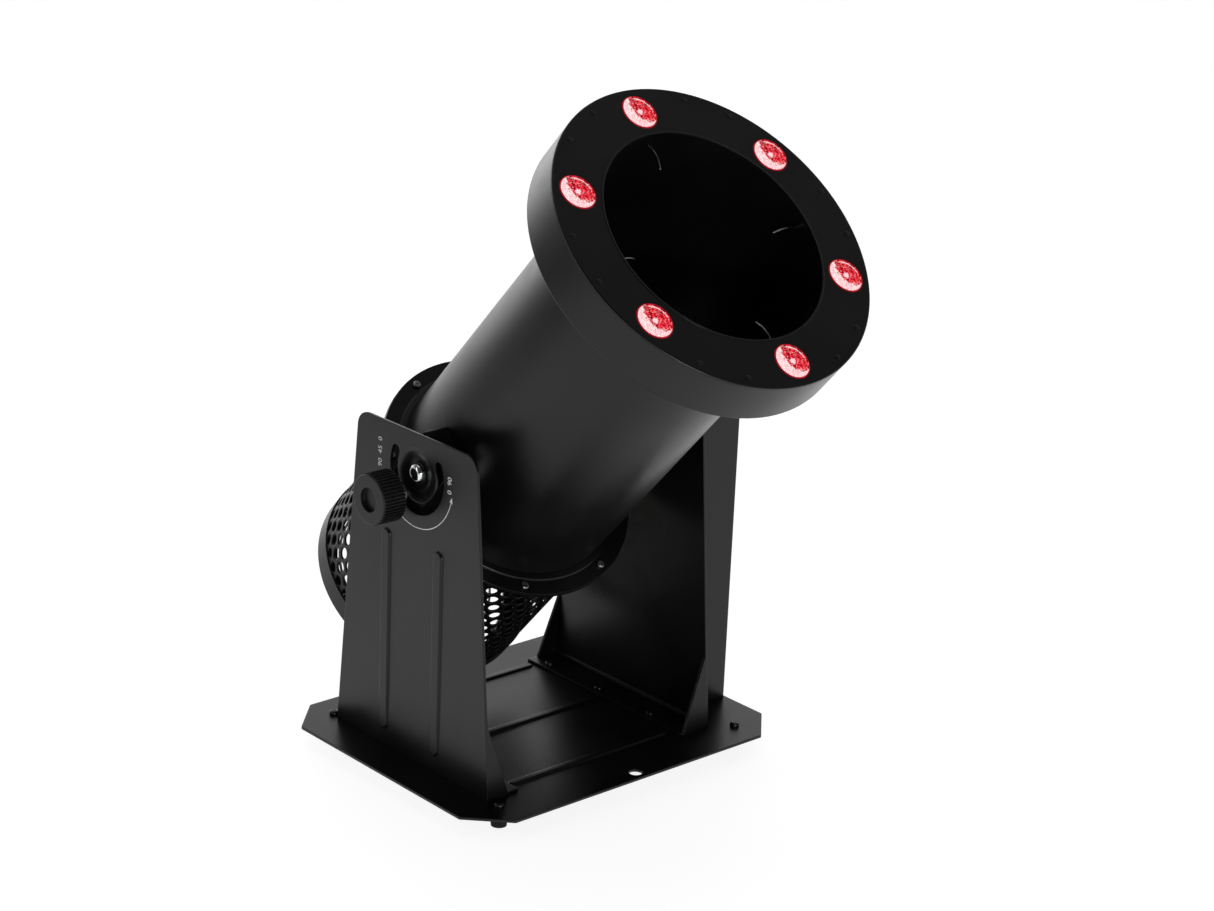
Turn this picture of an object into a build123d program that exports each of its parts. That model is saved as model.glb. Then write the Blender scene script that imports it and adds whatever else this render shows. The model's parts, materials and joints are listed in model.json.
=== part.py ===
"""Stage effect machine: a tilting barrel with a light ring, on a sheet-metal stand.

Millimetres. X runs along the tilt axis, the barrel points to -Y and up, Z = 0 is the floor.
Every piece is built where it sits, with the barrel raised to its rest angle and the tilt axis
at Y = 0, then all are exported moved back by ORIGIN_SHIFT.
"""
from build123d import *
import os
from math import cos, radians, sin

os.makedirs("parts", exist_ok=True)

# ---- driving dimensions -------------------------------------------------------------
SHEET = 3.0                      # plate thickness of the stand
FOOT_HEIGHT = 18.0
BASE_WIDTH, BASE_DEPTH = 440.0, 364.0
BASE_CORNER = 42.0
BASE_TOP = FOOT_HEIGHT + SHEET
BASE_BEAD_Y = (-112.0, 4.0, 121.0)
BASE_BEAD_LENGTH, BASE_BEAD_WIDTH, BASE_BEAD_HEIGHT = 227.0, 11.0, 2.4
FIXING_HOLE_Y, FIXING_HOLE_RADIUS = 169.5, 7.4
FOOT_X, FOOT_Y, FOOT_RADIUS = 171.0, 146.0, 10.0

PLATE_Y = 2.0                    # middle of each side plate, front to back
PLATE_HEIGHT = 372.0
PLATE_HALF_BOTTOM, PLATE_HALF_TOP = 133.0, 100.0
PLATE_CORNER = 18.0
PLATE_TOP = BASE_TOP + PLATE_HEIGHT
LEFT_OUTER, LEFT_INNER = -174.5, -171.5
RIGHT_INNER, RIGHT_OUTER = 141.5, 144.5
FLANGE_WIDTH, GUSSET_WIDE, GUSSET_NARROW, GUSSET_HEIGHT = 40.0, 36.0, 26.0, 83.0
PLATE_BEAD_Y, PLATE_BEAD_WIDTH, PLATE_BEAD_TOP = (-39.0, 50.0), 15.0, BASE_TOP + 253.0
FLANGE_SCREW_Y = (-70.0, 18.0, 106.0)
FLANGE_SCREW_INSET = 30.0
FOLD_RADIUS = 4.0                # inside bend of the foot flange

PIVOT_Z = BASE_TOP + 329.0
BARREL_X = -15.0                 # barrel axis, midway between the side plates
TILT = 48.0                      # barrel angle above level at rest
SLOT_RADIUS, SLOT_WIDTH, SLOT_RISE = 39.0, 13.0, 23.0
FACE_GAP = 0.4                   # between turning faces

TUBE_RADIUS, BORE_RADIUS = 126.0, 124.0
RING_RADIUS, RING_FRONT, RING_DEPTH = 180.0, 392.0, 54.0
RING_WALL = 1.5
LIGHT_COUNT, LIGHT_CIRCLE, LENS_RADIUS = 6, 152.0, 20.0
LIGHT_START = 31.3               # the ring sits turned a little on the tube
JOINT_FACE, JOINT_SHEET, JOINT_RADIUS = -62.0, 3.0, 150.5
JOINT_SCREWS, JOINT_SCREW_CIRCLE, JOINT_LIP = 8, 141.0, 133.5
SCREEN_RADIUS, SCREEN_WALL = 128.0, 1.5
REAR_END, RIM_DEPTH, RIM_WALL, RIM_HOLE = -285.5, 22.0, 1.4, 106.0
INLET_THREAD_FROM, INLET_END = -288.0, -312.0

TRUNNION_GAP, TRUNNION_HALF = 3.4, 28.0           # to the side plate; half its width
TRUNNION_FRONT, TRUNNION_REAR = 36.0, -56.0       # reach along the barrel from the tilt axis
TRUNNION_WALL = 3.0
BOLT_RADIUS, RUNNING_FIT = 6.0, 0.05
DISH_RADIUS, DISH_FLAT, DISH_DEPTH = 28.0, 13.0, 3.0   # pressed into the left plate at the pivot
SHAFT_RADIUS, SHAFT_BORE = 10.0, 7.0
KNOB_RADIUS, KNOB_DEPTH, KNOB_FACE = 28.0, 29.0, 43.0
KNOB_RIBS, KNOB_GROOVE = 46, 2.0
STUD_RADIUS = 5.0

BOX_OUTER, BOX_FRONT, BOX_REAR = 217.5, -80.0, 92.0
BOX_TOP, BOX_WALL = BASE_TOP + 356.0, 1.5
PANEL_Y = 6.0                    # middle of the control panel
DISPLAY_Z, BUTTON_Z, BUTTON_STEP, BUTTON_RADIUS = 318.0, 272.0, 18.0, 5.0

# The exported origin is on the floor under the middle of the whole machine, front to back.
ORIGIN_SHIFT = 54.2

# ---- working frames -----------------------------------------------------------------
LOW = (Align.CENTER, Align.CENTER, Align.MIN)
HIGH = (Align.CENTER, Align.CENTER, Align.MAX)
S, C = sin(radians(TILT)), cos(radians(TILT))
PIVOT = Vector(BARREL_X, 0, PIVOT_Z)
ALONG = Vector(0, -C, S)
BARREL = Plane(origin=PIVOT, x_dir=(1, 0, 0), z_dir=ALONG)
RADIAL = Plane(origin=PIVOT, x_dir=(1, 0, 0), z_dir=(0, -S, -C))
BARREL_AXIS = Axis(PIVOT, ALONG)
KNOB_Y, KNOB_Z = SLOT_RADIUS * C, PIVOT_Z - SLOT_RADIUS * S
KNOB_PLACE = Plane(origin=(0, KNOB_Y, KNOB_Z), x_dir=(0, 1, 0), z_dir=(-1, 0, 0))
PIVOT_PLACE = Plane(origin=(0, 0, PIVOT_Z), x_dir=(0, 1, 0), z_dir=(-1, 0, 0))


def profile(*corners):
    """Closed section beside the barrel axis, from (radius, distance along the barrel)."""
    with BuildSketch(RADIAL) as section:
        with BuildLine():
            Polyline(*corners, close=True)
        make_face()
    return section.sketch


def sleeve(inner, outer, start, end):
    """Rectangular section for a plain ring round the barrel axis."""
    return profile((inner, start), (outer, start), (outer, end), (inner, end))


def across(x, y, z, *radii):
    """Disc or ring section square to the tilt axis, at the given x."""
    with BuildSketch(Plane.YZ.offset(x)) as section:
        with Locations((y, z)):
            Circle(radii[0])
            if len(radii) > 1:
                Circle(radii[1], mode=Mode.SUBTRACT)
    return section.sketch


def pan_screw(head_radius, head_height, shank_radius, length):
    """Pan-head screw with a cross recess, its head above the origin plane."""
    with BuildPart() as screw:
        Cylinder(head_radius, head_height, align=LOW)
        fillet(screw.edges().sort_by(Axis.Z)[-1], head_height * 0.55)
        Cylinder(shank_radius, length, align=HIGH)
        with Locations((0, 0, head_height - 1.2)):
            Box(head_radius * 1.1, 0.9, 2, align=LOW, mode=Mode.SUBTRACT)
            Box(0.9, head_radius * 1.1, 2, align=LOW, mode=Mode.SUBTRACT)
    return screw.part


def hex_nut(across_flats, height, bore):
    """Hexagon nut hanging below the origin plane."""
    with BuildPart() as nut:
        with BuildSketch():
            RegularPolygon(across_flats / 2, 6, major_radius=False)
            Circle(bore, mode=Mode.SUBTRACT)
        extrude(amount=-height)
        chamfer(nut.faces().sort_by(Axis.Z)[0].outer_wire().edges(), 0.5)
    return nut.part


def side_plate(outer_face, inner_face, inward, front_gusset, rear_gusset):
    """Side plate with its folded foot flange, two gussets and the screw holes of its foot."""
    left, right = sorted((outer_face, inner_face))
    with BuildPart() as plate:
        with BuildSketch(Plane.YZ.offset(left)) as outline:
            Polygon(
                (PLATE_Y - PLATE_HALF_BOTTOM, BASE_TOP),
                (PLATE_Y + PLATE_HALF_BOTTOM, BASE_TOP),
                (PLATE_Y + PLATE_HALF_TOP, PLATE_TOP),
                (PLATE_Y - PLATE_HALF_TOP, PLATE_TOP),
                align=None,
            )
            fillet(outline.vertices().group_by(Axis.Y)[-1], PLATE_CORNER)
        extrude(amount=right - left)
        with Locations((inner_face + inward * FLANGE_WIDTH / 2, PLATE_Y, BASE_TOP)):
            Box(FLANGE_WIDTH, 2 * PLATE_HALF_BOTTOM - 4, SHEET, align=LOW)
        fold = Plane(origin=(inner_face, PLATE_Y - PLATE_HALF_BOTTOM + 2, BASE_TOP + SHEET),
                     x_dir=(inward, 0, 0), z_dir=(0, -inward, 0))
        with BuildSketch(fold):
            with BuildLine():
                Polyline((0, FOLD_RADIUS), (0, 0), (FOLD_RADIUS, 0))
                RadiusArc((FOLD_RADIUS, 0), (0, FOLD_RADIUS), FOLD_RADIUS)
            make_face()
        extrude(amount=-inward * (2 * PLATE_HALF_BOTTOM - 4))
        for side, width in ((-1, front_gusset), (1, rear_gusset)):
            edge_place = Plane(
                origin=(inner_face, PLATE_Y + side * PLATE_HALF_BOTTOM, BASE_TOP),
                x_dir=(1, 0, 0),
                z_dir=(0, side * PLATE_HEIGHT, PLATE_HALF_BOTTOM - PLATE_HALF_TOP),
            )
            with BuildSketch(edge_place):
                Polygon((0, 0), (inward * width, 0), (0, -side * GUSSET_HEIGHT), align=None)
            extrude(amount=-SHEET)
        screw_x = inner_face + inward * FLANGE_SCREW_INSET
        with Locations(*[(screw_x, y, BASE_TOP) for y in FLANGE_SCREW_Y]):
            Cylinder(2.6, 4 * SHEET, mode=Mode.SUBTRACT)
        with Locations((0, 0, BASE_TOP)):
            Box(BASE_WIDTH, BASE_DEPTH, SHEET, align=HIGH, mode=Mode.SUBTRACT)
    return plate.part


# ---- stand ---------------------------------------------------------------------------
with BuildPart() as base_plate:
    with BuildSketch(Plane.XY.offset(FOOT_HEIGHT)) as base_outline:
        Rectangle(BASE_WIDTH, BASE_DEPTH)
        chamfer(base_outline.vertices(), BASE_CORNER)
    extrude(amount=SHEET)
    fillet(base_plate.edges().filter_by(Axis.Z), 3)
    with BuildSketch(Plane.XY.offset(BASE_TOP)):
        with Locations(*[(-16.5, y) for y in BASE_BEAD_Y]):
            SlotOverall(BASE_BEAD_LENGTH, BASE_BEAD_WIDTH)
    extrude(amount=BASE_BEAD_HEIGHT, taper=35)
    fillet(base_plate.faces().filter_by(Plane.XY).group_by(Axis.Z)[-1].edges(), 2.5)
    with BuildSketch(Plane.XY.offset(FOOT_HEIGHT)):
        with Locations(*[(-16.5, y) for y in BASE_BEAD_Y]):
            SlotOverall(BASE_BEAD_LENGTH - 4, BASE_BEAD_WIDTH - 4)
    extrude(amount=BASE_BEAD_HEIGHT, mode=Mode.SUBTRACT)
    with Locations((0, -FIXING_HOLE_Y, BASE_TOP), (0, FIXING_HOLE_Y, BASE_TOP)):
        Cylinder(FIXING_HOLE_RADIUS, 4 * SHEET, mode=Mode.SUBTRACT)
    with GridLocations(2 * FOOT_X, 2 * FOOT_Y, 2, 2):
        with Locations((0, 0, BASE_TOP)):
            Cylinder(2.6, 4 * SHEET, mode=Mode.SUBTRACT)
    for screw_x in (LEFT_INNER + FLANGE_SCREW_INSET, RIGHT_INNER - FLANGE_SCREW_INSET):
        with Locations(*[(screw_x, y, BASE_TOP) for y in FLANGE_SCREW_Y]):
            Cylinder(2.6, 4 * SHEET, mode=Mode.SUBTRACT)

BEAD_LENGTH = PLATE_BEAD_TOP - BASE_TOP - 19
BEAD_MIDDLE = (PLATE_BEAD_TOP + BASE_TOP + 19) / 2
with BuildPart() as left_side_plate:
    add(side_plate(LEFT_OUTER, LEFT_INNER, 1, GUSSET_NARROW, GUSSET_WIDE))
    # two pressed beads stand proud of the outer face and are hollow behind
    with BuildSketch(Plane.YZ.offset(LEFT_OUTER)):
        with Locations(*[(y, BEAD_MIDDLE) for y in PLATE_BEAD_Y]):
            SlotOverall(BEAD_LENGTH, PLATE_BEAD_WIDTH, rotation=90)
    extrude(amount=-2.2, taper=25)
    fillet(left_side_plate.faces().filter_by(Plane.YZ).group_by(Axis.X)[0].edges(), 1.8)
    with BuildSketch(Plane.YZ.offset(LEFT_OUTER + 0.6)):
        with Locations(*[(y, BEAD_MIDDLE) for y in PLATE_BEAD_Y]):
            SlotOverall(BEAD_LENGTH - 2, PLATE_BEAD_WIDTH - 2, rotation=90)
    extrude(amount=SHEET, mode=Mode.SUBTRACT)
    with BuildSketch(Plane.YZ.offset(LEFT_OUTER - 4)):
        with BuildLine():
            slot_path = CenterArc((0, PIVOT_Z), SLOT_RADIUS, 180 - SLOT_RISE, 180 + 2 * SLOT_RISE)
        SlotArc(slot_path, SLOT_WIDTH)
        with Locations((0, PIVOT_Z)):
            Circle(DISH_RADIUS)
    extrude(amount=12, mode=Mode.SUBTRACT)
    # dish round the pivot bolt, whose back bears towards the barrel's bracket
    with BuildSketch(Plane(origin=(LEFT_OUTER, 0, PIVOT_Z), x_dir=(0, 1, 0), z_dir=(0, 0, -1))):
        with BuildLine():
            Bezier((DISH_RADIUS, 0), (21, 0), (20, DISH_DEPTH), (DISH_FLAT, DISH_DEPTH))
            Polyline((DISH_FLAT, DISH_DEPTH), (BOLT_RADIUS + 3, DISH_DEPTH),
                     (BOLT_RADIUS + 3, DISH_DEPTH + SHEET), (DISH_FLAT, DISH_DEPTH + SHEET))
            Bezier((DISH_FLAT, DISH_DEPTH + SHEET), (20, DISH_DEPTH + SHEET), (21, SHEET),
                   (DISH_RADIUS, SHEET))
            Line((DISH_RADIUS, SHEET), (DISH_RADIUS, 0))
        make_face()
    revolve(axis=Axis((0, 0, PIVOT_Z), (1, 0, 0)))

with BuildPart() as right_side_plate:
    add(side_plate(RIGHT_OUTER, RIGHT_INNER, -1, GUSSET_WIDE, GUSSET_NARROW))
    extrude(across(RIGHT_INNER - 4, 0, PIVOT_Z, SHAFT_RADIUS + 3), amount=12, mode=Mode.SUBTRACT)

with BuildPart() as rubber_feet:
    with GridLocations(2 * FOOT_X, 2 * FOOT_Y, 2, 2):
        Cone(FOOT_RADIUS - 1.5, FOOT_RADIUS, FOOT_HEIGHT, align=LOW)
        Cylinder(5, 5, align=LOW, mode=Mode.SUBTRACT)
        Cylinder(2.5, FOOT_HEIGHT, align=LOW, mode=Mode.SUBTRACT)

with BuildPart() as foot_screws:
    with GridLocations(2 * FOOT_X, 2 * FOOT_Y, 2, 2):
        with Locations((0, 0, BASE_TOP)):
            add(pan_screw(5.2, 4.4, 2.5, BASE_TOP - 3))

with BuildPart() as foot_nuts:
    with GridLocations(2 * FOOT_X, 2 * FOOT_Y, 2, 2):
        with Locations((0, 0, 4.9)):
            add(hex_nut(7.6, 3.4, 2.5))

with BuildPart() as bracket_screws:
    for screw_x in (LEFT_INNER + FLANGE_SCREW_INSET, RIGHT_INNER - FLANGE_SCREW_INSET):
        with Locations(*[(screw_x, y, BASE_TOP + SHEET) for y in FLANGE_SCREW_Y]):
            add(pan_screw(4.8, 3.0, 2.5, 11))

with BuildPart() as bracket_nuts:
    for screw_x in (LEFT_INNER + FLANGE_SCREW_INSET, RIGHT_INNER - FLANGE_SCREW_INSET):
        with Locations(*[(screw_x, y, FOOT_HEIGHT) for y in FLANGE_SCREW_Y]):
            add(hex_nut(8, 4.5, 2.5))

with BuildPart() as left_bush:
    bush = across(LEFT_OUTER + DISH_DEPTH, 0, PIVOT_Z, BOLT_RADIUS + 3, BOLT_RADIUS + RUNNING_FIT)
    extrude(bush, amount=SHEET)

with BuildPart() as right_bush:
    extrude(across(RIGHT_INNER, 0, PIVOT_Z, SHAFT_RADIUS + 3, SHAFT_RADIUS + RUNNING_FIT), amount=SHEET)

# ---- control box ---------------------------------------------------------------------
BOX_HEIGHT = BOX_TOP - BASE_TOP
BOX_DEPTH = BOX_REAR - BOX_FRONT
BOX_Y = (BOX_REAR + BOX_FRONT) / 2
BOX_WIDTH = BOX_OUTER - RIGHT_OUTER
SIDE_LOW = (Align.MIN, Align.CENTER, Align.MIN)
SOCKET_X = 182.0
SOCKET_Z = (84.0, 116.0, 148.0, 178.0, 204.0)   # power in, power out, data in, data out, fuse
SOCKET_RADII = (12.0, 12.0, 9.5, 9.5, 6.5)
SWITCH_Z = 44.0
BUTTON_Y = [PANEL_Y + (k - 1.5) * BUTTON_STEP for k in range(4)]

COVER_BACK = BOX_OUTER - BOX_WALL
BOX_SCREW_YZ = [(y, z) for y in (BOX_FRONT + 8, BOX_REAR - 8) for z in (BASE_TOP + 8.0, BOX_TOP - 8.0)]
BOX_LUG = 13.0                   # corner block that each cover screw bites into

with BuildPart() as control_box:
    with Locations((RIGHT_OUTER, BOX_Y, BASE_TOP)):
        Box(BOX_WIDTH - BOX_WALL, BOX_DEPTH, BOX_HEIGHT, align=SIDE_LOW)
    with Locations((RIGHT_OUTER + BOX_WALL, BOX_Y, BASE_TOP + BOX_WALL)):
        Box(BOX_WIDTH, BOX_DEPTH - 2 * BOX_WALL, BOX_HEIGHT - 2 * BOX_WALL,
            align=SIDE_LOW, mode=Mode.SUBTRACT)
    with Locations((RIGHT_OUTER - 1, BOX_Y, BASE_TOP + 9)):
        Box(6, BOX_DEPTH - 28, BOX_HEIGHT - 18, align=SIDE_LOW, mode=Mode.SUBTRACT)
    # sockets and switch on the rear wall
    with BuildSketch(Plane.XZ.offset(-BOX_REAR - 5)):
        for socket_z, socket_radius in zip(SOCKET_Z, SOCKET_RADII):
            with Locations((SOCKET_X, socket_z)):
                Circle(socket_radius)
        with Locations((SOCKET_X, SWITCH_Z)):
            Rectangle(27, 13)
    extrude(amount=10, mode=Mode.SUBTRACT)
    # row of cooling slots through the top
    with BuildSketch(Plane.XY.offset(BOX_TOP + 2)):
        with Locations((RIGHT_OUTER + BOX_WIDTH / 2, BOX_Y)):
            with GridLocations(0, 9, 1, 13):
                SlotOverall(44, 3.2)
    extrude(amount=-8, mode=Mode.SUBTRACT)
    with Locations(*[(COVER_BACK, y, z) for y, z in BOX_SCREW_YZ]):
        Box(10, BOX_LUG, BOX_LUG, align=(Align.MAX, Align.CENTER, Align.CENTER))
    for y, z in BOX_SCREW_YZ:
        extrude(across(COVER_BACK - 8, y, z, 1.6), amount=9, mode=Mode.SUBTRACT)

with BuildPart() as box_cover:
    with Locations((COVER_BACK, BOX_Y, BASE_TOP)):
        Box(BOX_WALL, BOX_DEPTH, BOX_HEIGHT, align=SIDE_LOW)
    fillet(box_cover.faces().sort_by(Axis.X)[-1].edges(), 1.2)
    for y, z in BOX_SCREW_YZ:
        extrude(across(COVER_BACK - 1, y, z, 1.8), amount=4, mode=Mode.SUBTRACT)
    # display window and buttons
    with Locations((BOX_OUTER, PANEL_Y, DISPLAY_Z)):
        Box(10, 66, 30, mode=Mode.SUBTRACT)
    with BuildSketch(Plane.YZ.offset(BOX_OUTER - 5)):
        with Locations(*[(y, BUTTON_Z) for y in BUTTON_Y]):
            Circle(BUTTON_RADIUS + 0.4)
    extrude(amount=10, mode=Mode.SUBTRACT)

with BuildPart() as box_screws:
    for y, z in BOX_SCREW_YZ:
        with Locations(Location(Plane(origin=(BOX_OUTER, y, z), z_dir=(1, 0, 0)))):
            add(pan_screw(3.6, 2.0, 1.6, 9))

with BuildPart() as display_bezel:
    with BuildSketch(Plane.YZ.offset(BOX_OUTER)):
        with Locations((PANEL_Y, (DISPLAY_Z + BUTTON_Z) / 2 - 1)):
            RectangleRounded(88, 98, 5)
        with Locations((PANEL_Y, DISPLAY_Z)):
            Rectangle(58, 22, mode=Mode.SUBTRACT)
        with Locations(*[(y, BUTTON_Z) for y in BUTTON_Y]):
            Circle(BUTTON_RADIUS + 0.4, mode=Mode.SUBTRACT)
    extrude(amount=0.8)

with BuildPart() as display_window:
    with Locations((BOX_OUTER - 2.4, PANEL_Y, DISPLAY_Z)):
        Box(2.4, 65.6, 29.6, align=(Align.MIN, Align.CENTER, Align.CENTER))

BOARD_X = BOX_OUTER - 12
with BuildPart() as control_board:
    with Locations((BOARD_X, PANEL_Y, (DISPLAY_Z + BUTTON_Z) / 2 - 2)):
        Box(1.6, 100, 104, align=(Align.MAX, Align.CENTER, Align.CENTER))
    with Locations((BOARD_X, PANEL_Y, DISPLAY_Z)):
        Box(9, 60, 24, align=(Align.MIN, Align.CENTER, Align.CENTER))
    with Locations(*[(BOARD_X, y, BUTTON_Z) for y in BUTTON_Y]):
        Box(3.5, 7, 7, align=(Align.MIN, Align.CENTER, Align.CENTER))
    with Locations(*[(BOARD_X - 1.6, PANEL_Y + y, BUTTON_Z + z) for y, z in ((-20, 8), (22, 16))]):
        Box(4, 18, 18, align=(Align.MAX, Align.CENTER, Align.CENTER))

with BuildPart() as board_standoffs:
    for dy in (-45, 45):
        for dz in (-47, 47):
            post = across(BOARD_X, PANEL_Y + dy, (DISPLAY_Z + BUTTON_Z) / 2 - 2 + dz, 2.5)
            extrude(post, amount=COVER_BACK - BOARD_X)

menu_buttons = []
for button_y in BUTTON_Y:
    with BuildPart() as menu_button:
        extrude(across(BOX_OUTER - 3.6, button_y, BUTTON_Z, BUTTON_RADIUS), amount=5.9)
        fillet(menu_button.edges().sort_by(Axis.X)[-1], 0.8)
        extrude(across(BOX_OUTER - 3.6, button_y, BUTTON_Z, BUTTON_RADIUS + 1.5), amount=1.2)
        extrude(across(BOX_OUTER - 6.6, button_y, BUTTON_Z, 2), amount=3.2)
    menu_buttons.append(menu_button)


def rear_place(x, z, out=0):
    """Frame on the rear wall of the control box with its z axis pointing outwards."""
    return Location(Plane(origin=(x, BOX_REAR + out, z), x_dir=(1, 0, 0), z_dir=(0, 1, 0)))


def round_socket(radius, flange, depth, key_count, key_radius, key_circle):
    """Round panel socket: square flange on the panel, barrel behind it, contact holes in front."""
    with BuildPart() as socket:
        with BuildSketch():
            RectangleRounded(flange, flange, 2)
        extrude(amount=2)
        Cylinder(radius - 0.4, depth, align=HIGH)
        with BuildSketch(Plane.XY.offset(2)):
            Circle(radius - 2)
            Circle(radius - 5, mode=Mode.SUBTRACT)
        extrude(amount=-8, mode=Mode.SUBTRACT)
        with BuildSketch(Plane.XY.offset(2)):
            with PolarLocations(key_circle, key_count):
                Circle(key_radius)
        extrude(amount=-6, mode=Mode.SUBTRACT)
        with GridLocations(flange - 6, flange - 6, 2, 2):
            Cylinder(1.6, 3, align=LOW)
    return socket.part


with BuildPart() as power_inlet:
    with Locations(rear_place(SOCKET_X, SOCKET_Z[0])):
        add(round_socket(SOCKET_RADII[0], 28, 26, 3, 1.4, 4.2))

with BuildPart() as power_outlet:
    with Locations(rear_place(SOCKET_X, SOCKET_Z[1])):
        add(round_socket(SOCKET_RADII[1], 28, 26, 3, 1.4, 4.2))

with BuildPart() as data_inlet:
    with Locations(rear_place(SOCKET_X, SOCKET_Z[2])):
        add(round_socket(SOCKET_RADII[2], 26, 18, 3, 0.9, 2.6))

with BuildPart() as data_outlet:
    with Locations(rear_place(SOCKET_X, SOCKET_Z[3])):
        add(round_socket(SOCKET_RADII[3], 26, 18, 3, 0.9, 2.6))

with BuildPart() as fuse_holder:
    with Locations(rear_place(SOCKET_X, SOCKET_Z[4])):
        Cylinder(9, 2, align=LOW)
        Cylinder(6.2, 9, align=LOW)
        Cylinder(6.1, 24, align=HIGH)
        with Locations((0, 0, 9)):
            Box(9, 1.4, 2.4, mode=Mode.SUBTRACT)

with BuildPart() as switch_frame:
    with Locations(rear_place(SOCKET_X, SWITCH_Z)):
        with Locations((0, 0, -16)):
            Box(26.6, 12.6, 16, align=LOW)
        Box(31, 17, 1.6, align=LOW)
        with Locations((0, 0, -9)):
            Box(23, 9, 14, align=LOW, mode=Mode.SUBTRACT)

ROCKER_TILT = 8.0
with BuildPart() as power_switch:
    with BuildSketch(Plane(origin=(SOCKET_X, BOX_REAR - 1, SWITCH_Z - 4.1), z_dir=(0, 0, 1),
                           x_dir=(cos(radians(ROCKER_TILT)), sin(radians(ROCKER_TILT)), 0))):
        Polygon((-10, -4), (10, -4), (10, 3.4), (0, 1.8), (-10, 3.4), align=None)
    extrude(amount=8.2)

with BuildPart() as power_supply:
    with Locations((RIGHT_OUTER + 2.2, -16, 34)):
        Box(44, 104, 168, align=SIDE_LOW)
    chamfer(power_supply.edges().filter_by(Axis.X), 2)
    with Locations(*[(RIGHT_OUTER, y, z) for y in (-56, 24) for z in (50, 186)]):
        Box(2.2, 10, 10, align=(Align.MIN, Align.CENTER, Align.CENTER))

# ---- barrel --------------------------------------------------------------------------
JOINT_BACK = JOINT_FACE - 2 * JOINT_SHEET
with BuildPart() as barrel_tube:
    revolve(sleeve(BORE_RADIUS, TUBE_RADIUS, JOINT_FACE - JOINT_SHEET, RING_FRONT + 0.3), axis=BARREL_AXIS)

with BuildPart() as barrel_flange:
    with BuildSketch(BARREL.offset(JOINT_FACE)):
        Circle(JOINT_RADIUS)
        Circle(TUBE_RADIUS, mode=Mode.SUBTRACT)
        with PolarLocations(JOINT_SCREW_CIRCLE, JOINT_SCREWS, 22.5):
            Circle(2.6, mode=Mode.SUBTRACT)
    extrude(amount=-JOINT_SHEET)
    # raised lip where the flange is turned up against the tube
    revolve(
        profile((TUBE_RADIUS, JOINT_FACE), (JOINT_LIP, JOINT_FACE), (JOINT_LIP, JOINT_FACE + 1.0),
                (JOINT_LIP - 1, JOINT_FACE + 1.8), (TUBE_RADIUS, JOINT_FACE + 2.4)),
        axis=BARREL_AXIS,
    )

with BuildPart() as screen_flange:
    with BuildSketch(BARREL.offset(JOINT_FACE - JOINT_SHEET)):
        Circle(JOINT_RADIUS)
        Circle(BORE_RADIUS, mode=Mode.SUBTRACT)
        with PolarLocations(JOINT_SCREW_CIRCLE, JOINT_SCREWS, 22.5):
            Circle(2.6, mode=Mode.SUBTRACT)
    extrude(amount=-JOINT_SHEET)

JOINT_SPOTS = [22.5 + 45 * k for k in range(JOINT_SCREWS)]


def on_barrel(radius, angle, distance, flip=False):
    """Frame standing on the barrel axis direction at a polar position."""
    spot = BARREL.offset(distance).from_local_coords(
        (radius * cos(radians(angle)), radius * sin(radians(angle)), 0))
    return Location(Plane(origin=spot, x_dir=(1, 0, 0), z_dir=ALONG * (-1 if flip else 1)))


with BuildPart() as flange_screws:
    with Locations(*[on_barrel(JOINT_SCREW_CIRCLE, a, JOINT_FACE) for a in JOINT_SPOTS]):
        add(pan_screw(4.6, 2.8, 2.5, 12))

with BuildPart() as flange_nuts:
    with Locations(*[on_barrel(JOINT_SCREW_CIRCLE, a, JOINT_BACK) for a in JOINT_SPOTS]):
        add(hex_nut(8, 4, 2.5))

with BuildPart() as intake_screen:
    revolve(
        sleeve(SCREEN_RADIUS - SCREEN_WALL, SCREEN_RADIUS, REAR_END + 2, JOINT_BACK),
        axis=BARREL_AXIS,
    )

RIM_OUTER = SCREEN_RADIUS + RIM_WALL
with BuildPart() as rear_rim:
    revolve(
        profile(
            (RIM_HOLE, REAR_END), (RIM_OUTER, REAR_END), (RIM_OUTER, REAR_END + RIM_DEPTH),
            (SCREEN_RADIUS, REAR_END + RIM_DEPTH), (SCREEN_RADIUS, REAR_END + 2), (RIM_HOLE, REAR_END + 2),
        ),
        axis=BARREL_AXIS,
    )

GUARD_WIRE = 1.5
GUARD_AT = REAR_END + 2 + GUARD_WIRE
with BuildPart() as rear_guard:
    for ring_radius in (32, 50, 68, 86, 104):
        with BuildSketch(RADIAL):
            with Locations((ring_radius, GUARD_AT)):
                Circle(GUARD_WIRE)
        revolve(axis=BARREL_AXIS)
    with BuildSketch(BARREL.offset(GUARD_AT - GUARD_WIRE)):
        Circle(20)
        for angle in (0, 60, 120):
            Rectangle(2 * (SCREEN_RADIUS - SCREEN_WALL - 0.5), 2.4, rotation=angle)
        Circle(11, mode=Mode.SUBTRACT)
    extrude(amount=2 * GUARD_WIRE)

RING_SCREW_SPOTS = [60 * k + side for k in range(6) for side in (-9, 9)]
RING_SCREW_CIRCLE = 170.0
with BuildPart() as light_ring_front:
    with BuildSketch(BARREL.offset(RING_FRONT)):
        Circle(RING_RADIUS)
        Circle(TUBE_RADIUS, mode=Mode.SUBTRACT)
        with PolarLocations(LIGHT_CIRCLE, LIGHT_COUNT, LIGHT_START):
            Circle(LENS_RADIUS + 0.2, mode=Mode.SUBTRACT)
        for spot in RING_SCREW_SPOTS:
            with PolarLocations(RING_SCREW_CIRCLE, 1, spot):
                Circle(1.6, mode=Mode.SUBTRACT)
    extrude(amount=-2)
    chamfer(light_ring_front.faces().sort_by(BARREL_AXIS)[-1].outer_wire().edges(), 0.8)

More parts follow.
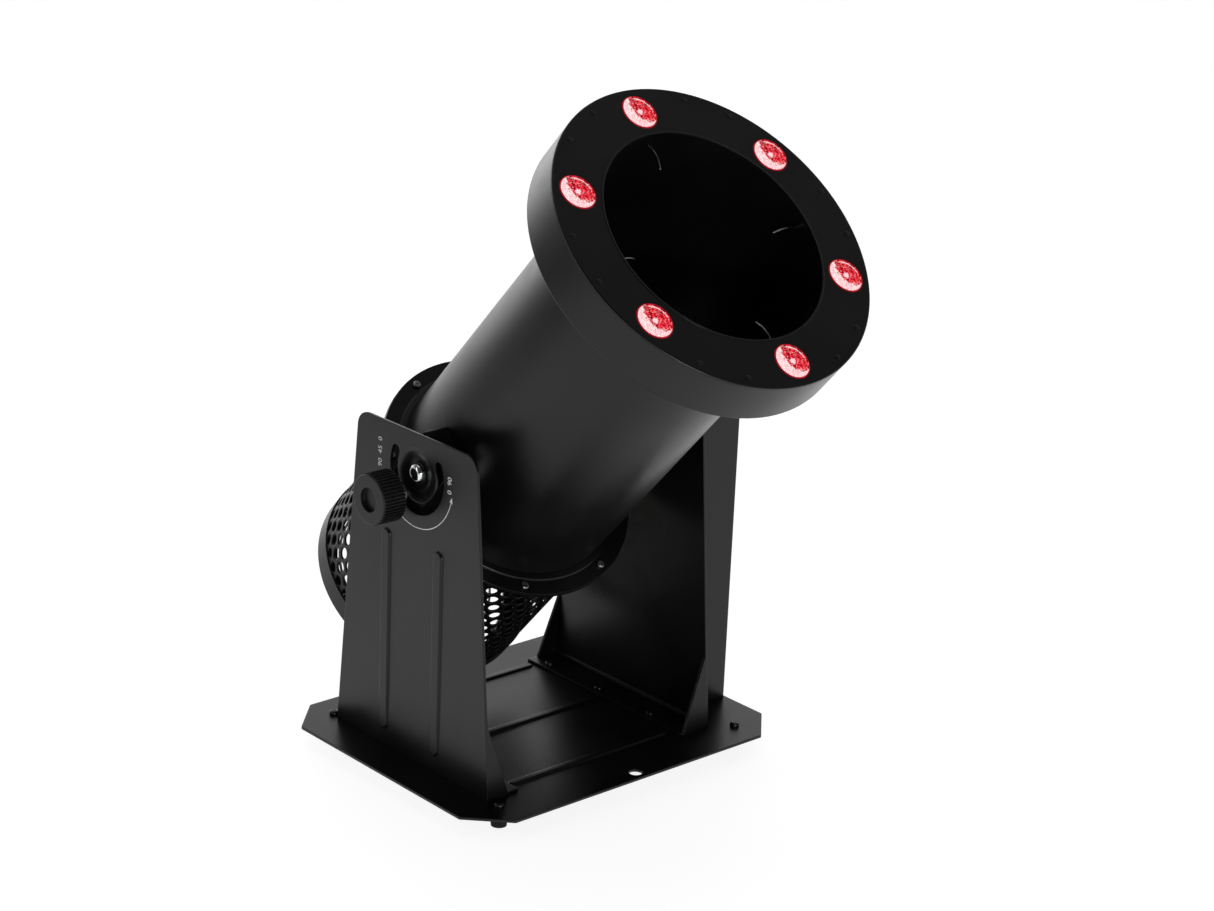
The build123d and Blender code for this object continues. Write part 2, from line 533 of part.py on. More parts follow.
with BuildPart() as light_ring_shell:
    revolve(
        profile(
            (TUBE_RADIUS, RING_FRONT - RING_DEPTH), (RING_RADIUS, RING_FRONT - RING_DEPTH),
            (RING_RADIUS, RING_FRONT - 2), (RING_RADIUS - RING_WALL, RING_FRONT - 2),
            (RING_RADIUS - RING_WALL, RING_FRONT - RING_DEPTH + RING_WALL),
            (TUBE_RADIUS, RING_FRONT - RING_DEPTH + RING_WALL),
        ),
        axis=BARREL_AXIS,
    )
    fillet(light_ring_shell.edges().filter_by(GeomType.CIRCLE).sort_by(BARREL_AXIS)[:3].filter_by(
        lambda edge: edge.radius > RING_RADIUS - 0.1), 1.2)

RING_INSIDE = RING_FRONT - RING_DEPTH + RING_WALL
with BuildPart() as ring_spacers:
    with Locations(*[on_barrel(RING_SCREW_CIRCLE, a, RING_INSIDE) for a in RING_SCREW_SPOTS]):
        Cylinder(4, RING_FRONT - 2 - RING_INSIDE, align=LOW)
        Cylinder(1.5, RING_FRONT, align=LOW, mode=Mode.SUBTRACT)

with BuildPart() as ring_screws:
    with Locations(*[on_barrel(RING_SCREW_CIRCLE, a, RING_FRONT) for a in RING_SCREW_SPOTS]):
        Cylinder(3.2, 0.4, align=LOW)
        Cylinder(1.5, 12, align=HIGH)

LIGHT_SPOTS = [LIGHT_START + 60 * k for k in range(LIGHT_COUNT)]
LIGHT_PLACES = [on_barrel(LIGHT_CIRCLE, a, RING_INSIDE) for a in LIGHT_SPOTS]
with BuildPart() as led_boards:
    with Locations(*LIGHT_PLACES):
        Cylinder(23, 2, align=LOW)
        with Locations((0, 0, 2)):
            Box(6, 6, 1.4, align=LOW)

HOLDER_TOP = RING_FRONT - 9 - RING_INSIDE
with BuildPart() as led_holders:
    with Locations(*LIGHT_PLACES):
        with Locations((0, 0, 2)):
            Cylinder(20, HOLDER_TOP - 2, align=LOW)
            Cone(6, 18.4, HOLDER_TOP - 2, align=LOW, mode=Mode.SUBTRACT)

with BuildPart() as lens:
    Cylinder(LENS_RADIUS - 0.2, 10.4, align=LOW)
    fillet(lens.edges().sort_by(Axis.Z)[-1], 3.6)

with BuildPart() as led_lenses:
    with Locations(*[on_barrel(LIGHT_CIRCLE, a, RING_FRONT - 9) for a in LIGHT_SPOTS]):
        add(lens.part)

# ---- trunnions and pivots ------------------------------------------------------------

def trunnion(face, inward):
    """Box bracket that carries the barrel, open inwards, its walls cut to the curve of the tube."""
    depth = abs(face - BARREL_X) - 112
    middle = (TRUNNION_FRONT + TRUNNION_REAR) / 2
    length = TRUNNION_FRONT - TRUNNION_REAR
    with BuildPart() as bracket:
        with BuildSketch(Plane(origin=(face, 0, PIVOT_Z), x_dir=ALONG, z_dir=(inward, 0, 0))):
            with Locations((middle, 0)):
                RectangleRounded(length, 2 * TRUNNION_HALF, 2)
        extrude(amount=depth)
        with BuildSketch(Plane(origin=(face + inward * TRUNNION_WALL, 0, PIVOT_Z), x_dir=ALONG,
                               z_dir=(inward, 0, 0))):
            with Locations((middle, 0)):
                Rectangle(length - 2 * TRUNNION_WALL, 2 * (TRUNNION_HALF - TRUNNION_WALL))
        extrude(amount=depth, mode=Mode.SUBTRACT)
        revolve(sleeve(0, TUBE_RADIUS, -120, 120), axis=BARREL_AXIS, mode=Mode.SUBTRACT)
    return bracket.part


LEFT_FACE = LEFT_INNER + TRUNNION_GAP
RIGHT_FACE = RIGHT_INNER - TRUNNION_GAP
with BuildPart() as left_trunnion:
    add(trunnion(LEFT_FACE, 1))
    extrude(across(LEFT_FACE + TRUNNION_WALL, 0, PIVOT_Z, 11), amount=11)
    extrude(across(LEFT_FACE + TRUNNION_WALL, KNOB_Y, KNOB_Z, 8.5), amount=8)
    extrude(across(LEFT_FACE, 0, PIVOT_Z, BOLT_RADIUS), amount=20, mode=Mode.SUBTRACT)
    extrude(across(LEFT_FACE, KNOB_Y, KNOB_Z, STUD_RADIUS + RUNNING_FIT), amount=20, mode=Mode.SUBTRACT)

with BuildPart() as right_trunnion:
    add(trunnion(RIGHT_FACE, -1))
    extrude(across(RIGHT_FACE - TRUNNION_WALL, 0, PIVOT_Z, 15), amount=-6)
    extrude(across(RIGHT_FACE, 0, PIVOT_Z, SHAFT_RADIUS), amount=18)
    extrude(across(RIGHT_FACE - 12, 0, PIVOT_Z, SHAFT_BORE), amount=40, mode=Mode.SUBTRACT)

with BuildPart() as right_spacer:
    extrude(across(RIGHT_FACE, 0, PIVOT_Z, 22, SHAFT_RADIUS), amount=TRUNNION_GAP - FACE_GAP)

HUB_FACE = LEFT_OUTER + DISH_DEPTH - FACE_GAP
HEAD_FACE = HUB_FACE - 1.2
with BuildPart() as left_hub_washer:
    extrude(across(HUB_FACE, 0, PIVOT_Z, DISH_FLAT - 0.6, BOLT_RADIUS), amount=HEAD_FACE - HUB_FACE)

with BuildPart() as left_pivot_bolt:
    extrude(across(HEAD_FACE, 0, PIVOT_Z, 10), amount=-5.5)
    fillet(left_pivot_bolt.edges().sort_by(Axis.X)[0], 5.0)
    extrude(across(HEAD_FACE, 0, PIVOT_Z, BOLT_RADIUS), amount=LEFT_FACE - HEAD_FACE + 13)

with BuildPart() as right_pivot_nut:
    with BuildSketch(Plane.YZ.offset(RIGHT_OUTER + FACE_GAP)):
        with Locations((0, PIVOT_Z)):
            RegularPolygon(14, 6, major_radius=False)
            Circle(SHAFT_RADIUS, mode=Mode.SUBTRACT)
    extrude(amount=8)

# ---- locking knob --------------------------------------------------------------------
KNOB_BACK = KNOB_FACE - KNOB_DEPTH
with BuildPart() as lock_knob:
    with BuildSketch(KNOB_PLACE.offset(-LEFT_OUTER + KNOB_BACK)):
        Circle(KNOB_RADIUS - KNOB_GROOVE)
        with PolarLocations(KNOB_RADIUS - KNOB_GROOVE, KNOB_RIBS):
            Rectangle(2 * KNOB_GROOVE, 1.5)
    extrude(amount=KNOB_DEPTH - 2)
    with BuildSketch(KNOB_PLACE.offset(-LEFT_OUTER + KNOB_FACE - 2)):
        Circle(KNOB_RADIUS - 0.8)
    extrude(amount=2)
    fillet(lock_knob.edges().sort_by(Axis.X)[0], 1.2)
    with BuildSketch(KNOB_PLACE.offset(-LEFT_OUTER + KNOB_FACE)):
        Circle(13.5)
    extrude(amount=-5, mode=Mode.SUBTRACT)
    with BuildSketch(KNOB_PLACE.offset(-LEFT_OUTER + 3.4)):
        Circle(10)
        Circle(STUD_RADIUS, mode=Mode.SUBTRACT)
    extrude(amount=KNOB_BACK - 3.4)
    with BuildSketch(KNOB_PLACE.offset(-LEFT_OUTER + KNOB_BACK)):
        Circle(STUD_RADIUS)
    extrude(amount=18, mode=Mode.SUBTRACT)

with BuildPart() as lock_stud:
    with BuildSketch(KNOB_PLACE.offset(-LEFT_OUTER + KNOB_BACK + 18)):
        Circle(STUD_RADIUS)
    extrude(amount=-(KNOB_BACK + 18 + SHEET + TRUNNION_GAP + 12))

with BuildPart() as lock_washer:
    with BuildSketch(KNOB_PLACE.offset(-LEFT_OUTER + FACE_GAP)):
        Circle(11)
        Circle(STUD_RADIUS, mode=Mode.SUBTRACT)
    extrude(amount=3)

# ---- gas line ------------------------------------------------------------------------
with BuildPart() as nozzle_spider:
    with BuildSketch(BARREL.offset(-58)):
        Circle(22)
        for angle in (90, 210, 330):
            with PolarLocations((BORE_RADIUS + 17) / 2, 1, angle):
                Rectangle(BORE_RADIUS - 17, 10)
    extrude(amount=3)
    revolve(sleeve(BORE_RADIUS, BORE_RADIUS + 30, -70, -40), axis=BARREL_AXIS, mode=Mode.SUBTRACT)
    revolve(sleeve(0, 13, -70, -40), axis=BARREL_AXIS, mode=Mode.SUBTRACT)

with BuildPart() as gas_nozzle:
    revolve(
        profile((4, -84), (13, -84), (13, -40), (9, -6), (9, 12), (5, 12), (4, -10)),
        axis=BARREL_AXIS,
    )

with BuildPart() as solenoid_valve:
    with BuildSketch(BARREL.offset(-84)):
        RectangleRounded(44, 44, 4)
        Circle(4, mode=Mode.SUBTRACT)
    extrude(amount=-56)
    with BuildSketch(Plane(origin=BARREL.offset(-112).from_local_coords((0, 22, 0)), x_dir=(1, 0, 0),
                           z_dir=(0, S, C))):
        Circle(19)
    extrude(amount=44)

with BuildPart() as gas_pipe:
    revolve(sleeve(5, 7, -252, -140), axis=BARREL_AXIS)

with BuildPart() as gas_inlet:
    with BuildSketch(BARREL.offset(-252)):
        RegularPolygon(12, 6, major_radius=False)
        Circle(5, mode=Mode.SUBTRACT)
    extrude(amount=-14)
    revolve(sleeve(5, 9, INLET_THREAD_FROM, -266), axis=BARREL_AXIS)
    revolve(sleeve(5, 10.5, INLET_END, INLET_THREAD_FROM), axis=BARREL_AXIS)

CLIP_AT = RING_FRONT - 17
with BuildPart() as muzzle_clips:
    for angle in (0, 90, 180, 274):
        arm = BARREL.from_local_coords((cos(radians(angle)), sin(radians(angle)), 0)) - PIVOT
        clip_plane = Plane(origin=PIVOT, x_dir=arm, z_dir=arm.cross(ALONG))
        with BuildLine(clip_plane) as clip_path:
            Spline(
                (BORE_RADIUS - 0.3, CLIP_AT),
                (BORE_RADIUS - 15, CLIP_AT + 3),
                (BORE_RADIUS - 30, CLIP_AT - 2),
            )
        with BuildSketch(Plane(origin=clip_path.line @ 0, z_dir=clip_path.line % 0)):
            Circle(0.7)
        sweep(path=clip_path.line)

# ---- export --------------------------------------------------------------------------
pieces = {
    "base_plate": base_plate, "left_side_plate": left_side_plate, "right_side_plate": right_side_plate,
    "rubber_feet": rubber_feet, "foot_screws": foot_screws, "foot_nuts": foot_nuts,
    "bracket_screws": bracket_screws, "bracket_nuts": bracket_nuts,
    "left_bush": left_bush, "right_bush": right_bush,
    "control_box": control_box, "box_cover": box_cover, "box_screws": box_screws,
    "display_bezel": display_bezel, "display_window": display_window,
    "control_board": control_board, "board_standoffs": board_standoffs,
    "power_inlet": power_inlet, "power_outlet": power_outlet, "data_inlet": data_inlet,
    "data_outlet": data_outlet, "fuse_holder": fuse_holder, "switch_frame": switch_frame,
    "power_switch": power_switch, "power_supply": power_supply,
    "barrel_tube": barrel_tube, "barrel_flange": barrel_flange, "screen_flange": screen_flange,
    "flange_screws": flange_screws, "flange_nuts": flange_nuts, "intake_screen": intake_screen,
    "rear_rim": rear_rim, "rear_guard": rear_guard,
    "light_ring_front": light_ring_front, "light_ring_shell": light_ring_shell,
    "ring_spacers": ring_spacers, "ring_screws": ring_screws, "led_boards": led_boards,
    "led_holders": led_holders, "led_lenses": led_lenses,
    "left_trunnion": left_trunnion, "right_trunnion": right_trunnion,
    "right_spacer": right_spacer,
    "left_hub_washer": left_hub_washer, "left_pivot_bolt": left_pivot_bolt,
    "right_pivot_nut": right_pivot_nut, "lock_knob": lock_knob, "lock_stud": lock_stud,
    "lock_washer": lock_washer, "nozzle_spider": nozzle_spider, "gas_nozzle": gas_nozzle,
    "solenoid_valve": solenoid_valve, "gas_pipe": gas_pipe, "gas_inlet": gas_inlet,
    "muzzle_clips": muzzle_clips,
}
for button_number, menu_button in enumerate(menu_buttons, start=1):
    pieces[f"menu_button_{button_number}"] = menu_button
for piece_name, piece in pieces.items():
    placed = piece.part.moved(Location((0, ORIGIN_SHIFT, 0)))
    placed.label = piece_name
    export_step(placed, f"parts/{piece_name}.step")
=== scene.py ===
"""Looks of the stage effect machine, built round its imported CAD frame. Metres."""

import json
from math import atan2, cos, pi, radians, sin, sqrt

import bpy
from mathutils import Matrix, Vector


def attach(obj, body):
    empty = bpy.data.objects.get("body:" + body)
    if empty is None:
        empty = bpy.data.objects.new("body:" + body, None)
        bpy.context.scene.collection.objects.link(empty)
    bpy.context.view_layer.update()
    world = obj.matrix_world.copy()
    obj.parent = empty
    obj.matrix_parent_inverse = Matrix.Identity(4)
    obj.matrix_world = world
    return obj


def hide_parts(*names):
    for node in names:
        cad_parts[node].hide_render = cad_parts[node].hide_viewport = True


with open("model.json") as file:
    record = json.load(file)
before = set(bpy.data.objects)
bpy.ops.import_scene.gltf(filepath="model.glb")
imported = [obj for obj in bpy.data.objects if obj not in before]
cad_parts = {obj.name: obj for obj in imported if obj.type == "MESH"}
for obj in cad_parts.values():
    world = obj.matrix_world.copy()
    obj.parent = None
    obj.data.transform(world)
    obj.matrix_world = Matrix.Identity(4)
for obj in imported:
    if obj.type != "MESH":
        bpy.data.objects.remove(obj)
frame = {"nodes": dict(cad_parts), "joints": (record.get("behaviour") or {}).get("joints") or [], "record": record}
NODES = frame["nodes"]
JOINTS = {joint["name"]: joint for joint in frame["joints"]}
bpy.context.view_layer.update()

# ---- main places of the model ----------------------------------------------------------
PIVOT = Vector(JOINTS["barrel_tilt"]["pos_m"])
TILT = radians(48)                      # the barrel's rise above level, at rest
ALONG = Vector((0, -cos(TILT), sin(TILT)))
ACROSS = Vector((1, 0, 0))
UPWARD = ALONG.cross(ACROSS)
LEFT_OUTER = -0.1745                    # outer face of the left side plate


def barrel_matrix(radius=0.0, angle=0.0, distance=0.0):
    """Frame on the barrel: z along it, x across, standing at a polar place round its axis."""
    place = PIVOT + ALONG * distance + (ACROSS * cos(angle) + UPWARD * sin(angle)) * radius
    turn = Matrix((ACROSS, UPWARD, ALONG)).transposed().to_4x4()
    return Matrix.Translation(place) @ turn


# ---- node materials --------------------------------------------------------------------
class Shader:
    """Small wrapper round a new node material with a principled shader."""

    def __init__(self, name, **settings):
        self.material = bpy.data.materials.new(name)
        self.material.use_nodes = True
        self.tree = self.material.node_tree
        self.surface = self.tree.nodes["Principled BSDF"]
        self.place = self.add("ShaderNodeTexCoord").outputs["Object"]
        self.set(**settings)

    def set(self, **settings):
        """Sets inputs of the surface: Base_Color=(r, g, b) and so on."""
        for key, value in settings.items():
            if isinstance(value, tuple):
                value = (*value, 1.0)
            self.surface.inputs[key.replace("_", " ")].default_value = value

    def add(self, kind, **settings):
        node = self.tree.nodes.new(kind)
        for key, value in settings.items():
            setattr(node, key, value)
        return node

    def link(self, start, end):
        self.tree.links.new(start, end)

    def split(self, vector):
        """The X, Y and Z outputs of a vector or colour."""
        node = self.add("ShaderNodeSeparateXYZ")
        self.link(vector, node.inputs[0])
        return node.outputs

    def noise(self, scale, detail=3.0, roughness=0.5, place=None):
        node = self.add("ShaderNodeTexNoise")
        node.inputs["Scale"].default_value = scale
        node.inputs["Detail"].default_value = detail
        node.inputs["Roughness"].default_value = roughness
        self.link(place or self.place, node.inputs["Vector"])
        return node.outputs["Fac"]

    def ramp(self, value, stops):
        """Colours blended between stops, each a position and a colour."""
        node = self.add("ShaderNodeValToRGB")
        self.link(value, node.inputs["Fac"])
        elements = node.color_ramp.elements
        while len(elements) < len(stops):
            elements.new(0.5)
        for element, (position, colour) in zip(elements, stops):
            element.position = position
            element.color = (*colour, 1.0)
        return node.outputs["Color"]

    def spread(self, value, low, high, from_low=0.0, from_high=1.0):
        """Maps from_low .. from_high to low .. high, held at both ends."""
        node = self.add("ShaderNodeMapRange")
        node.inputs["From Min"].default_value = from_low
        node.inputs["From Max"].default_value = from_high
        node.inputs["To Min"].default_value = low
        node.inputs["To Max"].default_value = high
        self.link(value, node.inputs["Value"])
        return node.outputs["Result"]

    def math(self, operation, first, second=None):
        node = self.add("ShaderNodeMath", operation=operation)
        for index, item in enumerate((first, second)):
            if item is None:
                continue
            if isinstance(item, (int, float)):
                node.inputs[index].default_value = item
            else:
                self.link(item, node.inputs[index])
        return node.outputs[0]

    def roughness(self, value):
        self.link(value, self.surface.inputs["Roughness"])

    def colour(self, value):
        self.link(value, self.surface.inputs["Base Color"])

    def bump(self, height, strength, distance, edge=None):
        """Fine relief. An edge radius also rounds sharp corners off to the light."""
        node = self.add("ShaderNodeBump")
        node.inputs["Strength"].default_value = strength
        node.inputs["Distance"].default_value = distance
        self.link(height, node.inputs["Height"])
        if edge:
            rounded = self.add("ShaderNodeBevel", samples=6)
            rounded.inputs["Radius"].default_value = edge
            self.link(rounded.outputs["Normal"], node.inputs["Normal"])
        self.link(node.outputs["Normal"], self.surface.inputs["Normal"])


RELIEF = 0.0002                         # depth of grain and tool marks


def coat(name, colour, rough, ior=1.36, grain=1400, strength=0.12, edge=0.001):
    """Sprayed or moulded finish: fine grain, and a slow drift of gloss and shade."""
    shader = Shader(name, IOR=ior)
    drift = shader.noise(14, 4)
    fine = shader.noise(grain, 2)
    mixed = shader.math("ADD", shader.math("MULTIPLY", drift, 0.7), shader.math("MULTIPLY", fine, 0.3))
    shader.roughness(shader.spread(mixed, rough - 0.06, rough + 0.07, 0.3, 0.7))
    darker = tuple(part * 0.8 for part in colour)
    lighter = tuple(min(1.0, part * 1.25) for part in colour)
    shader.colour(shader.ramp(mixed, [(0.3, darker), (0.7, lighter)]))
    shader.bump(fine, strength, RELIEF, edge)
    return shader.material


def metal(name, colour, rough, edge=0.0003):
    """Turned or drawn metal: fine marks that run along z, over slow stains."""
    shader = Shader(name, Metallic=1.0)
    stretch = shader.add("ShaderNodeMapping")
    stretch.inputs["Scale"].default_value = (900, 900, 60)
    shader.link(shader.place, stretch.inputs["Vector"])
    marks = shader.noise(1.0, 3, place=stretch.outputs["Vector"])
    stain = shader.noise(60, 3)
    shader.roughness(shader.spread(marks, rough - 0.05, rough + 0.1, 0.3, 0.7))
    stained = tuple(part * 0.85 for part in colour)
    shader.colour(shader.ramp(stain, [(0.3, stained), (0.7, colour)]))
    shader.bump(marks, 0.08, RELIEF, edge)
    return shader.material


# colour and roughness of each finish, under the record's name for it
COATS = {
    "powder_black": dict(colour=(0.003, 0.003, 0.0033), rough=0.31, edge=0.0013),
    "spacer_nylon": dict(colour=(0.03, 0.03, 0.032), rough=0.5),
    "hub_black": dict(colour=(0.005, 0.005, 0.005), rough=0.2, grain=700, strength=0.04),
    "rubber_black": dict(colour=(0.006, 0.006, 0.006), rough=0.8, ior=1.3, grain=900, strength=0.3),
    "knob_plastic": dict(colour=(0.008, 0.008, 0.008), rough=0.42, grain=1800, strength=0.15),
    "holder_white": dict(colour=(0.7, 0.25, 0.25), rough=0.4),
    "panel_print": dict(colour=(0.03, 0.03, 0.034), rough=0.45, strength=0.05),
    "display_glass": dict(colour=(0.01, 0.02, 0.05), rough=0.06, grain=300, strength=0.01),
    "board_green": dict(colour=(0.02, 0.12, 0.05), rough=0.45),
    "socket_blue": dict(colour=(0.02, 0.06, 0.3), rough=0.3),
    "socket_grey": dict(colour=(0.3, 0.31, 0.33), rough=0.3),
    "socket_black": dict(colour=(0.01, 0.01, 0.01), rough=0.3),
    "switch_red": dict(colour=(0.35, 0.01, 0.01), rough=0.25),
    "button_grey": dict(colour=(0.12, 0.12, 0.125), rough=0.45),
}
METALS = {
    "zinc_screw": dict(colour=(0.34, 0.34, 0.35), rough=0.24),
    "black_screw": dict(colour=(0.05, 0.05, 0.052), rough=0.35),
    "polished_bolt": dict(colour=(0.85, 0.86, 0.88), rough=0.08),
    "steel_parts": dict(colour=(0.5, 0.5, 0.51), rough=0.35),
    "clip_wire": dict(colour=(0.4, 0.4, 0.4), rough=0.25),
    "bush_bronze": dict(colour=(0.55, 0.38, 0.18), rough=0.35),
    "brass_fitting": dict(colour=(0.75, 0.55, 0.25), rough=0.28),
    "valve_body": dict(colour=(0.45, 0.45, 0.47), rough=0.4),
    "led_metal": dict(colour=(0.8, 0.8, 0.8), rough=0.4),
    "post_metal": dict(colour=(0.6, 0.6, 0.6), rough=0.35),
    "supply_case": dict(colour=(0.6, 0.6, 0.6), rough=0.35),
}
finishes = {name: coat(name, **look) for name, look in COATS.items()}
finishes.update({name: metal(name, **look) for name, look in METALS.items()})

for entry in frame["record"]["subparts"]:
    if entry["material_slot"] in finishes:
        materials = NODES[entry["node"]].data.materials
        materials.clear()
        materials.append(finishes[entry["material_slot"]])


def new_piece(name, points, faces, finish, body, smooth=True, place=None):
    """A piece made from points and faces, which rides on a body. The points are in the row frame,
    or in the frame that place gives."""
    mesh = bpy.data.meshes.new(name)
    mesh.from_pydata(points, [], faces)
    mesh.validate()
    mesh.update()
    if smooth:
        mesh.shade_smooth()
    mesh.materials.append(finish)
    piece = bpy.data.objects.new(name, mesh)
    bpy.context.scene.collection.objects.link(piece)
    if place:
        piece.matrix_world = place
        bpy.context.view_layer.update()
    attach(piece, body)
    return piece


# ---- perforated intake screen ----------------------------------------------------------
SCREEN_RADIUS, SCREEN_WALL = 0.128, 0.0015
SCREEN_FROM, SCREEN_TO = -0.2835, -0.068
HOLES_ROUND, HOLE_ROWS = 45, 12
HOLE_RADIUS = 0.0063
FIRST_ROW = -0.2585                     # the row nearest the rear rim
HOLE_TURN = 2 * pi / HOLES_ROUND
HOLE_PITCH = SCREEN_RADIUS * HOLE_TURN
ROW_STEP = HOLE_PITCH * sqrt(3) / 2
SIDE_PARTS = 3                          # points on each side of a hole's hexagon


def hexagon_outline():
    """The hexagon that one hole of the staggered pattern fills, as points round its centre."""
    corners = []
    for k in range(7):
        turn = radians(60 * k + 30)
        corners.append(Vector((cos(turn), sin(turn))) * HOLE_PITCH / sqrt(3))
    outline = []
    for first, second in zip(corners, corners[1:]):
        outline += [first.lerp(second, part / SIDE_PARTS) for part in range(SIDE_PARTS)]
    return outline


def intake_screen():
    """Rolled sheet with staggered round holes: each hole is ringed out to its own hexagon."""
    points, faces, seen = [], [], {}

    def add_point(angle, distance):
        points.append(barrel_matrix(SCREEN_RADIUS, angle, distance).translation)
        return len(points) - 1

    def shared_point(angle, distance):
        """Neighbouring hexagons meet in the same points."""
        key = (round(angle % (2 * pi) * 20000) % round(2 * pi * 20000), round(distance * 200000))
        if key not in seen:
            seen[key] = add_point(angle, distance)
        return seen[key]

    hexagon = hexagon_outline()
    sides = len(hexagon)
    for row in range(HOLE_ROWS):
        distance = FIRST_ROW + row * ROW_STEP
        for column in range(HOLES_ROUND):
            angle = (column + (row % 2) / 2) * HOLE_TURN
            outer, inner = [], []
            for corner in hexagon:
                outer.append(shared_point(angle + corner.x / SCREEN_RADIUS, distance + corner.y))
                turn = atan2(corner.y, corner.x)
                inner.append(add_point(angle + HOLE_RADIUS * cos(turn) / SCREEN_RADIUS,
                                       distance + HOLE_RADIUS * sin(turn)))
            for k in range(sides):
                after = (k + 1) % sides
                faces.append((outer[k], outer[after], inner[after], inner[k]))
    # plain bands at both ends, which tuck into the rear rim and the joint
    rear_edge = FIRST_ROW - ROW_STEP * 0.45
    joint_edge = FIRST_ROW + ROW_STEP * (HOLE_ROWS - 0.55)
    for band_from, band_to in ((SCREEN_FROM, rear_edge), (joint_edge, SCREEN_TO)):
        base = len(points)
        for k in range(4 * HOLES_ROUND):
            add_point(k * HOLE_TURN / 4, band_from)
            add_point(k * HOLE_TURN / 4, band_to)
        count = len(points) - base
        for k in range(0, count, 2):
            faces.append((base + k, base + (k + 2) % count, base + (k + 3) % count, base + k + 1))
    finish = coat("screen_black", (0.004, 0.004, 0.0045), 0.42, ior=1.3, edge=None)
    piece = new_piece("intake_screen_holes", points, faces, finish, "barrel")
    solid = piece.modifiers.new("thickness", "SOLIDIFY")
    solid.thickness = SCREEN_WALL
    solid.offset = -1
    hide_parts("intake_screen")


intake_screen()

# ---- lamp lenses -----------------------------------------------------------------------
LAMPS = 6
RING_FRONT = 0.392
LIGHT_CIRCLE, LIGHT_START = 0.152, 31.3
LENS_RADIUS, LENS_DEPTH = 0.0198, 0.008
LENS_CROWN, LENS_DROP = 0.0014, 0.0012  # the dome's height, and its fall towards the groove
LIP_HEIGHT = 0.0004                     # the groove lies as far below the ring's face
DOME_STEPS, LENS_SIDES = 8, 64


def lens_material():
    """Lit lamp: a red stippled core off to one side, a pale glare crescent of painted reflection round the other,
    and a broken arc of painted highlight near the rim.
    Places in it are in lens radii from the lamp's middle."""
    shader = Shader("lens_red", Base_Color=(0.06, 0.0, 0.003), Roughness=0.12, IOR=1.15)
    own_place = shader.split(shader.place)
    x = shader.math("DIVIDE", own_place["X"], LENS_RADIUS)
    y = shader.math("DIVIDE", own_place["Y"], LENS_RADIUS)

    def distance(centre_x, centre_y):
        dx = shader.math("SUBTRACT", x, centre_x)
        dy = shader.math("SUBTRACT", y, centre_y)
        return shader.math("SQRT", shader.math("ADD", shader.math("MULTIPLY", dx, dx),
                                               shader.math("MULTIPLY", dy, dy)))

    def mix(factor, first, second):
        node = shader.add("ShaderNodeMix", data_type="RGBA")
        shader.link(factor, node.inputs["Factor"])
        for name, item in (("A", first), ("B", second)):
            socket = next(one for one in node.inputs if one.name == name and one.type == "RGBA")
            if isinstance(item, tuple):
                socket.default_value = (*item, 1.0)
            else:
                shader.link(item, socket)
        return next(one for one in node.outputs if one.type == "RGBA")

    radius = distance(0.0, 0.0)
    cells = shader.add("ShaderNodeTexVoronoi", feature="F1")
    cells.inputs["Scale"].default_value = 560
    shader.link(shader.place, cells.inputs["Vector"])
    cell_random = shader.split(cells.outputs["Color"])
    cloud = shader.noise(260, 4, 0.65)
    streak = shader.noise(900, 2)
    wobble = shader.math("MULTIPLY", shader.math("SUBTRACT", cloud, 0.5), 0.6)

    # red core, mottled by clouds and cells, with pale sparkles in some of the cells
    red = shader.math("ADD", shader.math("MULTIPLY", cloud, 0.7),
                      shader.math("MULTIPLY", cell_random["Y"], 0.3))
    colour = shader.ramp(red, [(0.3, (0.1, 0.0, 0.003)), (0.45, (0.36, 0.001, 0.01)),
                               (0.56, (0.85, 0.015, 0.04)), (0.7, (1.0, 0.16, 0.16))])
    dot = shader.spread(cells.outputs["Distance"], 1.0, 0.0, 0.2, 0.4)
    chosen = shader.spread(cell_random["X"], 0.0, 1.0, 0.62, 0.68)
    colour = mix(shader.math("MULTIPLY", dot, chosen), colour, (1.0, 0.6, 0.55))
    # painted reflection: a pale glare crescent over all that lies far from a place on one side
    pale = shader.ramp(streak, [(0.36, (1.0, 0.34, 0.38)), (0.5, (1.0, 0.68, 0.7)),
                                (0.6, (1.0, 0.97, 0.97))])
    reflection_crescent = shader.spread(shader.math("ADD", distance(0.5, 0.25), wobble), 0.0, 1.0, 0.88, 0.97)
    colour = mix(reflection_crescent, colour, pale)
    # pale image of the lamp near the middle
    small_wobble = shader.math("MULTIPLY", wobble, 0.5)
    spot = shader.spread(shader.math("ADD", distance(-0.03, -0.04), small_wobble), 1.0, 0.0, 0.1, 0.2)
    colour = mix(spot, colour, (1.0, 0.72, 0.76))
    # painted highlight: a broken pale arc round the far side
    band = shader.math("ABSOLUTE", shader.math("SUBTRACT", radius, 0.82))
    highlight_arc = shader.math("MULTIPLY", shader.spread(band, 1.0, 0.0, 0.02, 0.05),
                      shader.spread(shader.math("ADD", x, y), 0.0, 1.0, 0.7, 0.95))
    highlight_arc = shader.math("MULTIPLY", highlight_arc, shader.spread(streak, 0.0, 1.0, 0.42, 0.5))
    colour = mix(highlight_arc, colour, (1.0, 0.85, 0.85))
    # dark red rim
    colour = mix(shader.spread(radius, 0.0, 1.0, 0.92, 0.96), colour, (0.36, 0.002, 0.01))
    shader.link(colour, shader.surface.inputs["Emission Color"])
    shader.set(Emission_Strength=1.0)
    shader.bump(cells.outputs["Distance"], 0.5, 0.0006)
    return shader.material


